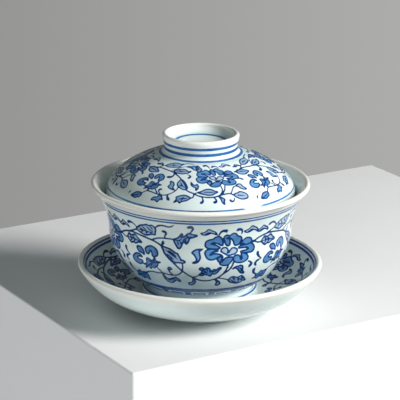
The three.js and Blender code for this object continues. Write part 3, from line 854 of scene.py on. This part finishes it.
class Painted:
    """A painted face: a line of the section, cut into equal units round the piece."""

    def __init__(self, line, repeats, draw, radius, phase=0.0, backwards=False):
        self.line, self.repeats, self.backwards = line, repeats, backwards
        self.s = lengths(line)
        self.radius = radius
        self.period = 2 * math.pi * self.radius / repeats
        self.brush = Brush()
        draw(self.brush.at(math.radians(phase) * self.radius, 0.0), self.s[-1])

    def squeeze(self, y):
        """How much narrower the piece is at chart height y than at the reference radius."""
        return np.interp(y, self.s, self.line[:, 0]) / self.radius

    def triangulate(self):
        """Points and triangles of one unit. A triangle's corners are (point, unit) pairs."""
        top = self.s[-1]
        across = SEGMENTS // self.repeats
        sieve = Sieve(self.period)
        for y in (0.0, top):
            for i in range(across):
                sieve.keep(self.period * i / across, y)
        marks, middles, edges = fine_points(self.brush, self.period, self.squeeze)
        for group, spacing in ((marks, 0.25), (middles, 0.3), (edges, 0.27)):
            for points in group:
                sieve.offer(points.tolist(), spacing, 0.2, top - 0.2)
        rows = max(2, round(top / 1.15))
        columns = max(4, round(self.period / 1.35))
        wobble = np.random.default_rng(7)
        for j in range(1, rows):
            x = (np.arange(columns) + 0.5 * (j % 2)) * self.period / columns
            row = np.stack([x, np.full(columns, top * j / rows)], 1)
            row += wobble.uniform(-0.12, 0.12, row.shape)
            sieve.offer(row.tolist(), 0.72, 0.5, top - 0.5)
        points = np.array(sieve.kept)
        inner = (points[:, 1] > 0) & (points[:, 1] < top)
        points[inner] += wobble.uniform(-0.004, 0.004, (inner.sum(), 2))

        margin = 4.0
        ids, copies = [], []
        for shift in (-1, 0, 1):
            moved = points[:, 0] + shift * self.period
            near = np.flatnonzero((moved > -margin) & (moved < self.period + margin))
            ids += [(int(i), shift) for i in near]
            copies.append(np.stack([moved[near], points[near, 1]], 1))
        spread = np.vstack(copies)
        made = geometry.delaunay_2d_cdt([Vector(p) for p in spread.tolist()], [], [], 0, 1e-7)
        assert len(made[0]) == len(spread)
        order = [source[0] for source in made[3]]
        triangles = []
        for face in made[2]:
            corner = [order[v] for v in face]
            middle = spread[corner, 0].sum() / 3
            if 0 <= middle < self.period:
                triangles.append([ids[v] for v in corner])
        return points, triangles, across


class Plain:
    """An unpainted run of the section, apart from rings, each as (mm along the run, width)."""

    def __init__(self, line, rings=(), step=1.5):
        s = lengths(line)
        turn = np.unwrap(np.arctan2(*np.diff(line, axis=0).T[::-1]))
        bend = np.r_[0.0, np.cumsum(np.abs(np.diff(turn))), 0.0]
        bend[-1] = bend[-2]
        pace = s / step + np.degrees(bend) / 11.0
        count = max(1, math.ceil(pace[-1]))
        rows = np.interp(np.linspace(0, pace[-1], count + 1), pace, s)
        for place, width in rings:
            marks = place + np.array([-0.5 * width - GUARD, 0.0, 0.5 * width + GUARD])
            rows = rows[np.abs(rows[:, None] - marks).min(1) > 0.3]
            rows = np.r_[rows, marks]
        rows = np.unique(np.r_[0.0, rows[(rows > 0.05) & (rows < s[-1] - 0.05)], s[-1]])
        self.rows = np.stack([np.interp(rows, s, line[:, k]) for k in (0, 1)], 1)
        self.wash = np.full(len(rows), -FAR)
        for place, width in rings:
            self.wash = np.maximum(self.wash, 0.5 * width - np.abs(rows - place))


class Turned:
    """A closed mesh turned round Z, made band by band along its section."""

    FEWEST = 45                     # points in the smallest ring
    FULL_RADIUS = 15.0              # rings narrower than this, in mm, have fewer points
    RING_DEPTH = 1.5                # how dark the blue rings on plain bands are

    def __init__(self, name):
        self.name = name
        self.points, self.faces = [], []        # points are (radius, height, turn in radians)
        self.values = {"ink": [], "wash": [], "depth": []}
        self.islands = []                       # per face: (band, sector), its UV island
        self.flat = []                          # per face: its corners in that island, in mm
        self.bands = []                         # per band: its scale in the UV map

    def add_points(self, radius, height, turn, **values):
        """Adds points with their vertex values, and returns their numbers."""
        first = len(self.points)
        self.points += list(zip(radius, height, turn))
        for name, rest in (("ink", -FAR), ("wash", -FAR), ("depth", 0.0)):
            self.values[name] += list(values.get(name, np.full(len(radius), rest)))
        return list(range(first, len(self.points)))

    def ring(self, radius, height, wash=-FAR):
        """A ring of points, with fewer of them near the axis, or the one point on it."""
        if radius < 1e-6:
            return self.add_points([0.0], [height], [0.0])
        count = SEGMENTS
        while count > self.FEWEST and radius < self.FULL_RADIUS * count / SEGMENTS:
            count //= 2
        turn = 2 * np.pi * np.arange(count) / count
        return self.add_points(np.full(count, radius), np.full(count, height), turn,
                               wash=np.full(count, wash), depth=np.full(count, self.RING_DEPTH))

    def face(self, corners, island, flat):
        """Adds a face, with its place in a UV island."""
        self.faces.append(corners)
        self.islands.append(island)
        self.flat.append(flat)

    def stitch(self, lower, upper, place):
        """Faces between two rings. place gives a corner's spot in the UV map."""
        n, m = len(lower), len(upper)
        for i in range(max(n, m)):
            low = [(lower, i * n // max(n, m)), (lower, (i + 1) * n // max(n, m))]
            high = [(upper, (i + 1) * m // max(n, m)), (upper, i * m // max(n, m))]
            corners = []
            for ring, k in low + high:
                spot = (ring[k % len(ring)], place(ring, k, i / max(n, m)))
                if spot[0] not in [c[0] for c in corners]:
                    corners.append(spot)
            island = place(None, i, i / max(n, m))
            self.face([c[0] for c in corners], island, [c[1] for c in corners])

    def add_plain(self, band, previous, scale):
        """Adds a plain band after the ring of points `previous`, and returns its last ring."""
        number = len(self.bands)
        self.bands.append(scale)
        flat_radius = band.rows[:, 0].max()
        s = lengths(band.rows)
        disk = s[-1] > 0 and band.rows[:, 0].min() < 1e-6 and flat_radius < 30
        sectors = 4 if s[-1] > 12 and not disk else 1
        height = {}

        def place(ring, k, share):
            """The island at this share of the turn or, given a ring, its point k's UV spot."""
            if ring is None:
                return number, 0 if disk else int(share * sectors + 1e-9)
            turn = 2 * math.pi * k / len(ring) if len(ring) > 1 else 2 * math.pi * share
            if disk:
                r = height[id(ring)][0]
                return r * math.sin(turn), -r * math.cos(turn)
            start = int(share * sectors + 1e-9) / sectors * 2 * math.pi
            return (turn - start) * flat_radius, height[id(ring)][1]

        rings = [previous]
        height[id(previous)] = (band.rows[0][0], 0.0)
        for (radius, z), along, wash in zip(band.rows[1:], s[1:], band.wash[1:]):
            rings.append(self.ring(radius, z, wash))
            height[id(rings[-1])] = (radius, along)
            self.stitch(rings[-2], rings[-1], place)
        return rings[-1]

    def add_painted(self, band, previous, scale):
        """Adds a painted band after the ring `previous`, and returns its last ring."""
        number = len(self.bands)
        self.bands.append(scale)
        points, triangles, across = band.triangulate()
        last = self.ring(*(band.line[0] if band.backwards else band.line[-1]))
        lower, upper = (last, previous) if band.backwards else (previous, last)
        inner = points[2 * across:]
        values = paint_values(inner, band.brush, band.period, band.squeeze)
        edge_values = paint_values(points[:2 * across], band.brush, band.period, band.squeeze)
        radius = np.interp(inner[:, 1], band.s, band.line[:, 0])
        height = np.interp(inner[:, 1], band.s, band.line[:, 1])
        units = []
        for unit in range(band.repeats):
            turn = (inner[:, 0] / band.period + unit) * 2 * math.pi / band.repeats
            rest = self.add_points(radius, height, turn, **values)
            start = unit * across
            units.append(lower[start:start + across] + upper[start:start + across] + rest)
            for name in edge_values:
                for v, value in zip(units[-1], edge_values[name]):
                    self.values[name][v] = max(self.values[name][v], value)
        per_island = max(1, band.repeats // 4)
        for unit in range(band.repeats):
            group = unit // per_island
            for triangle in triangles:
                corners = [units[(unit + shift) % band.repeats][i] for i, shift in triangle]
                flat = [(points[i][0] + (shift + unit - group * per_island) * band.period,
                         points[i][1]) for i, shift in triangle]
                if band.backwards:
                    corners.reverse()
                    flat.reverse()
                self.face(corners, (number, group), flat)
        return last

    def build(self, bands, thin=(), pool=(), bare=()):
        """The finished object, from (band, UV scale) pairs.

        thin, pool and bare are spots (radius, height, reach, blur) of the section.
        """
        ring = self.ring(*bands[0][0].rows[0])
        for band, scale in bands:
            add = self.add_painted if isinstance(band, Painted) else self.add_plain
            ring = add(band, ring, scale)
        section = joined(*[(b.line[::-1] if b.backwards else b.line)
                           if isinstance(b, Painted) else b.rows for b, _ in bands])
        radius, height, turn = np.array(self.points).T
        place = np.stack([radius * np.sin(turn), -radius * np.cos(turn), height], 1) * MM

        mesh = bpy.data.meshes.new(self.name)
        mesh.from_pydata(place.tolist(), [], self.faces)
        mesh.shade_smooth()
        for name, spots in (("thin", thin), ("pool", pool), ("bare", bare)):
            worth = np.zeros(len(radius))
            for r, z, reach, blur in spots:
                worth = np.maximum(worth, (reach - np.hypot(radius - r, height - z)) / blur)
            self.values[name] = np.clip(worth, 0, 1)
        for name, values in self.values.items():
            layer = mesh.attributes.new(name, "FLOAT", "POINT")
            layer.data.foreach_set("value", np.array(values, np.float32))
        self.add_uv(mesh)
        mesh.normals_split_custom_set_from_vertices(self.normals(section, radius, height, turn))
        obj = bpy.data.objects.new(self.name, mesh)
        bpy.context.scene.collection.objects.link(obj)
        return obj

    def normals(self, section, radius, height, turn):
        """Normals of the turned surface, from the nearest point of its section."""
        along = np.gradient(section, axis=0)
        along[0], along[-1] = (1.0, 0.0), (-1.0, 0.0)
        along /= np.linalg.norm(along, axis=1)[:, None]
        spots = np.stack([radius, height], 1)
        unique, where = np.unique(spots.round(3), axis=0, return_inverse=True)
        nearest = np.empty(len(unique), int)
        for start in range(0, len(unique), 2000):
            part = unique[start:start + 2000]
            gap = ((part[:, None] - section[None]) ** 2).sum(2)
            nearest[start:start + 2000] = gap.argmin(1)
        out = along[nearest[where.ravel()]]
        outward, up = out[:, 1], -out[:, 0]
        return np.stack([outward * np.sin(turn), -outward * np.cos(turn), up], 1).tolist()

    def add_uv(self, mesh):
        """Packs every island's rectangle on shelves in the unit square."""
        boxes = {}
        for island, flat in zip(self.islands, self.flat):
            scale = self.bands[island[0]]
            box = boxes.setdefault(island, [1e9, 1e9, -1e9, -1e9])
            for x, y in flat:
                box[0], box[1] = min(box[0], x * scale), min(box[1], y * scale)
                box[2], box[3] = max(box[2], x * scale), max(box[3], y * scale)
        gap = 1.2
        area = sum((b[2] - b[0] + gap) * (b[3] - b[1] + gap) for b in boxes.values())
        order = sorted(boxes, key=lambda i: boxes[i][1] - boxes[i][3])
        side = 1.03 * math.sqrt(area)
        while True:
            spots, x, y, shelf = {}, gap, gap, 0.0
            for island in order:
                b = boxes[island]
                wide, tall = b[2] - b[0] + gap, b[3] - b[1] + gap
                if x + wide > side:
                    x, y, shelf = gap, y + shelf, 0.0
                spots[island] = (x - b[0], y - b[1])
                x, shelf = x + wide, max(shelf, tall)
            if y + shelf <= side and max(b[2] - b[0] for b in boxes.values()) + 2 * gap <= side:
                break
            side *= 1.01
        layer = mesh.uv_layers.new(name="OFBake")
        loops = []
        for island, flat in zip(self.islands, self.flat):
            scale = self.bands[island[0]]
            dx, dy = spots[island]
            loops += [c for x, y in flat for c in ((x * scale + dx) / side, (y * scale + dy) / side)]
        layer.data.foreach_set("uv", np.array(loops, np.float32))


# ---- Sections, in millimetres, from the sizes of the CAD nodes -------------------------

def node_size(node):
    """A turned CAD node's radius and its lowest and highest point, in mm."""
    low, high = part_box(node)
    return high.x / MM, low.z / MM, high.z / MM


saucer_radius, _, saucer_top = node_size("saucer")
bowl_radius, bowl_foot, bowl_top = node_size("bowl")
lid_radius, lid_edge, lid_top = node_size("lid")

FOOT_ROUND = 0.8                # rounding of the foot rings

BOWL_HALF = 1.15                # half the thickness of the bowl's wall
BOWL_FOOT_RADIUS = 24.0
BOWL_FOOT_WIDTH = 3.4
BOWL_FOOT_HEIGHT = 6.2
BOWL_RECESS = 4.3               # depth of the hollow inside the foot ring
BOWL_BASE = 2.6                 # thickness of the floor over that hollow
LAPPET_TOP = 9.8                # end of the lappets and of the scroll, along the outside
SCROLL_TOP = 50.6
LAPPET_RADIUS = 29.5            # reference radii of the charts
BOWL_CHART_RADIUS = 41.25

LID_HALF = 1.15
LID_RISE = 22.4                 # from the lid's edge to the crown of its dome
LID_PAINTED = 33.0              # how far the painting reaches up from the edge
LID_CHART_RADIUS = 35.5
KNOB_ROOT_RADIUS = 19.7
KNOB_RADIUS = 17.5
KNOB_WAIST_RADIUS = 16.75
KNOB_LIP_HALF = 1.1
KNOB_RECESS = 4.4               # depth of the hollow in the knob
KNOB_FLOOR_RADIUS = 10.5        # of the flat in that hollow

SAUCER_HALF = 1.9               # half the thickness of the wall over the foot
SAUCER_LIP_HALF = 1.25
SAUCER_FOOT_RADIUS = 24.6
SAUCER_FOOT_WIDTH = 3.6
SAUCER_BASE = 3.7               # thickness of the middle, inside the foot
SAUCER_CHART_RADIUS = 43.0
TOUCH_GAP = 0.3                 # between the bowl's foot and the saucer's well
FOOT_CLEARANCE = 0.5            # between the bowl's foot and the saucer's ridge
RIDGE_HEIGHT = 3.8
RIDGE_HALF = 1.1                # half the ridge's width

belly_start = (BOWL_FOOT_RADIUS + 0.9, bowl_foot + BOWL_FOOT_HEIGHT + BOWL_HALF)
waist = (41.8 - BOWL_HALF, bowl_foot + 30.1)
bowl_lip = (bowl_radius - BOWL_HALF, bowl_top - BOWL_HALF)
belly_rise = waist[1] - belly_start[1]
flare_rise = bowl_lip[1] - waist[1]
BELLY = [
    belly_start,
    (belly_start[0] + 0.46 * (waist[0] - belly_start[0]), belly_start[1] + 0.08 * belly_rise),
    (waist[0], waist[1] - 0.345 * belly_rise),
    waist,
]
FLARE = [
    waist,
    (waist[0], waist[1] + 0.49 * flare_rise),
    (bowl_lip[0] - 0.3 * (bowl_lip[0] - waist[0]), bowl_lip[1] - 0.06 * flare_rise),
    bowl_lip,
]


def even(half):
    """A wall of the same half thickness all along."""
    return lambda t: np.full_like(t, half)


def cut_at(line, *places):
    """A line cut into pieces at distances along it."""
    s = lengths(line)
    cuts = [0.0, *places, s[-1]]
    pieces = []
    for low, high in zip(cuts, cuts[1:]):
        t = np.r_[low, s[(s > low + 1e-3) & (s < high - 1e-3)], high]
        pieces.append(np.stack([np.interp(t, s, line[:, k]) for k in (0, 1)], 1))
    return pieces


def along_line(line, spot):
    """How far along a line its nearest point to a spot lies."""
    s = lengths(line)
    t = np.linspace(0, s[-1], 2000)
    gap = np.hypot(np.interp(t, s, line[:, 0]) - spot[0], np.interp(t, s, line[:, 1]) - spot[1])
    return t[gap.argmin()]


def foot_ring(radius, width, sole, ceiling, outer):
    """A foot ring's section, from the axis to its outside, up to the start of the wall."""
    inner = radius - width
    return corners([(0, ceiling), (inner, ceiling), (inner, sole), (radius, sole),
                    outer[0], outer[10]], FOOT_ROUND)[:-1]


def above(ring, outer):
    """The outside of a wall from the end of its foot ring on."""
    return joined(ring[-1:], outer[outer[:, 0] > ring[-1, 0] + 0.2])


def make_bowl():
    """The bowl: lappets round its foot, the flower scroll over them, and a plain inside."""
    wall = even(BOWL_HALF)
    outer = joined(beside(BELLY, 1, wall), beside(FLARE, 1, wall))
    inner = joined(beside(FLARE, -1, wall, start=1, end=0),
                   beside(BELLY, -1, wall, start=1, end=0))
    recess = bowl_foot + BOWL_RECESS
    floor = (0.0, recess + BOWL_BASE)
    slope = bezier(BELLY, 1)[1][0]
    start = inner[-1]
    bottom = bezier([start, start - 0.22 * start[0] * slope,
                     (0.4 * start[0], floor[1]), floor], 40)[0]
    ring = foot_ring(BOWL_FOOT_RADIUS, BOWL_FOOT_WIDTH, bowl_foot, recess, outer)
    lappets, belly, lip = cut_at(above(ring, outer), LAPPET_TOP, SCROLL_TOP)

    def draw_lappets(brush, height):
        """One lappet, under a thick line at the top of the band."""
        lappet(brush, 2 * math.pi * LAPPET_RADIUS / LAPPET_REPEATS)
        brush.ring(height - 0.8, 1.6, 2.0)

    def draw_scroll(brush, _):
        """The bowl's scroll, with two lines over it under the lip."""
        bowl_scroll(brush.at(0, 20.25))
        brush.ring(37.3, 1.1)
        brush.ring(38.85, 0.95)

    scroll = Painted(belly, SCROLL_REPEATS, draw_scroll, phase=18.0, radius=BOWL_CHART_RADIUS)
    obj = Turned("bowl_glazed").build([
        (Plain(ring), 0.35),
        (Painted(lappets, LAPPET_REPEATS, draw_lappets, radius=LAPPET_RADIUS), 1.0),
        (scroll, 1.0),
        (Plain(joined(lip, round_end(FLARE, BOWL_HALF), inner)), 0.5),
        (Plain(bottom), 0.5),
    ],
        thin=[(*bowl_lip, 4.4, 3.0)],
        pool=[(*ring[-1], 2.2, 2.0)],
        bare=[(BOWL_FOOT_RADIUS - 0.5 * BOWL_FOOT_WIDTH, bowl_foot, 1.75, 0.5)])
    finish_piece(obj, "bowl", porcelain("bowl_glaze", (0.7, 0.8, 0.785), 2.0))


def make_lid():
    """The lid: a painted dome, and a plain hollow knob with four blue rings."""
    wall = even(LID_HALF)
    edge = (lid_radius - LID_HALF, lid_edge + LID_HALF)
    crown = lid_edge + LID_RISE
    dome = [(0, crown), (0.49 * edge[0], crown),
            (1.02 * edge[0], edge[1] + 0.49 * (crown - edge[1])), edge]
    under = beside(dome, 1, wall)
    outer = beside(dome, -1, wall, 120, 1, 0)
    outer = outer[outer[:, 0] > KNOB_ROOT_RADIUS]
    root = outer[-1]
    face, shoulder = cut_at(outer, LID_PAINTED)

    # the knob: its neck, its lip and the hollow inside it
    lip = (KNOB_RADIUS - KNOB_LIP_HALF, lid_top - KNOB_LIP_HALF)
    narrow = (KNOB_WAIST_RADIUS, root[1] + 0.5 * (lip[1] - root[1]))
    hollow = (KNOB_FLOOR_RADIUS, lid_top - KNOB_RECESS)
    lip_inside = (lip[0] - KNOB_LIP_HALF, lip[1])
    lower_neck = bezier([root, (17.6, root[1] + 0.6), (16.6, root[1] + 1.3), narrow], 30)[0]
    upper_neck = bezier([narrow, (16.9, narrow[1] + 1.6), (KNOB_RADIUS, lip[1] - 1.2),
                         (KNOB_RADIUS, lip[1])], 20)[0]
    inside_neck = bezier([lip_inside, (lip_inside[0], lip[1] - 1.3),
                          (12.9, hollow[1] + 0.1), hollow], 30)[0]
    neck = joined(lower_neck, upper_neck[1:])
    top = joined(shoulder, neck, arc(lip, KNOB_LIP_HALF, 0, 180)[1:], inside_neck)
    spots = [(18.56, root[1] + 0.7), (17.3, lid_top - 6.25), (17.4, lid_top - 3.7),
             (11.6, hollow[1])]
    rings = [(along_line(top, spot), 1.4) for spot in spots]

    def draw_scroll(brush, _):
        """The lid's scroll, with one line under it near the edge."""
        brush.ring(4.5, 0.9, 1.3)
        lid_scroll(brush.at(0, 22.0).finer(0.76))

    scroll = Painted(face, SCROLL_REPEATS, draw_scroll, phase=15.0, radius=LID_CHART_RADIUS)
    obj = Turned("lid_glazed").build([
        (Plain(under), 0.5),
        (Plain(round_end(dome, LID_HALF)), 0.5),
        (scroll, 1.0),
        (Plain(top, rings), 0.8),
        (Plain(np.array([hollow, (0.0, hollow[1])])), 0.5),
    ],
        thin=[(*edge, 2.4, 1.6), (*lip, 2.4, 1.6)],
        pool=[(*root, 1.6, 1.4), (12.0, hollow[1], 2.4, 2.0)])
    finish_piece(obj, "lid", porcelain("lid_glaze", (0.71, 0.805, 0.795), 5.0))


def saucer_half(t):
    """Half the thickness of the saucer's wall, which thins towards its lip."""
    return SAUCER_HALF + (SAUCER_LIP_HALF - SAUCER_HALF) * t * t


def make_saucer():
    """The saucer: plain outside, painted inside, with a ridge round the bowl's foot."""
    start = (SAUCER_FOOT_RADIUS + 1, 5.0)
    lip = (saucer_radius - SAUCER_LIP_HALF, saucer_top - SAUCER_LIP_HALF)
    width, rise = lip[0] - start[0], lip[1] - start[1]
    wall = [start, (start[0] + 0.39 * width, start[1] + 0.1 * rise),
            (lip[0] - 0.24 * width, lip[1] - 0.66 * rise), lip]
    outer = beside(wall, 1, saucer_half)
    inner = beside(wall, -1, saucer_half)
    well = bowl_foot - TOUCH_GAP
    ring = foot_ring(SAUCER_FOOT_RADIUS, SAUCER_FOOT_WIDTH, 0, well - SAUCER_BASE, outer)
    outside = joined(above(ring, outer), round_end(wall, SAUCER_LIP_HALF))

    # from the dish over the ridge and down into the well
    ridge = BOWL_FOOT_RADIUS + FOOT_CLEARANCE
    ridge_middle = (ridge + RIDGE_HALF, well + RIDGE_HEIGHT - RIDGE_HALF)
    dish = inner[inner[:, 0] > ridge + 3.4]
    climb = corners([dish[0], (ridge + 2 * RIDGE_HALF, well + 0.6),
                     ridge_middle + np.array([RIDGE_HALF, 0])], 0.8)[1:]
    descent = corners([(ridge, ridge_middle[1]), (ridge, well), (ridge - 3, well)], 0.6)[1:-1]
    over = joined(dish[:1], climb, arc(ridge_middle, RIDGE_HALF, 0, 180), descent)
    floor = np.array([over[-1], (0.0, well)])
    ring_on_ridge = (along_line(over, (ridge + 1.7, well + 3.7)), 0.9)

    def draw_scroll(brush, height):
        """The bowl's scroll, lower and a little wider, with two lines by the lip."""
        bowl_scroll(brush.at(0, 15.0, size=(1.04, 0.78)))
        brush.ring(height - 2.2, 1.2, 2.0)
        brush.ring(height - 0.7, 0.9, 2.0)

    scroll = Painted(dish, SCROLL_REPEATS, draw_scroll, phase=35.0,
                     radius=SAUCER_CHART_RADIUS, backwards=True)
    obj = Turned("saucer_glazed").build([
        (Plain(ring), 0.35),
        (Plain(outside), 0.5),
        (scroll, 1.0),
        (Plain(over, [ring_on_ridge]), 0.6),
        (Plain(floor), 0.4),
    ],
        thin=[(*lip, 3.0, 2.0), (*ridge_middle, 1.2, 0.6)],
        pool=[(*ring[-1], 2.4, 2.0), (ridge + 3, well, 1.5, 1.5)],
        bare=[(SAUCER_FOOT_RADIUS - 0.5 * SAUCER_FOOT_WIDTH, 0, 1.9, 0.5)])
    finish_piece(obj, "saucer", porcelain("saucer_glaze", (0.7, 0.8, 0.78), 8.0))


def finish_piece(obj, name, material):
    """Gives a piece its glaze, and sets it in place of the CAD node of that name."""
    obj.data.materials.append(material)
    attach(obj, name)
    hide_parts(name)


add_camera()
add_room()
add_plinth()
add_lights()
make_saucer()
make_bowl()
make_lid()
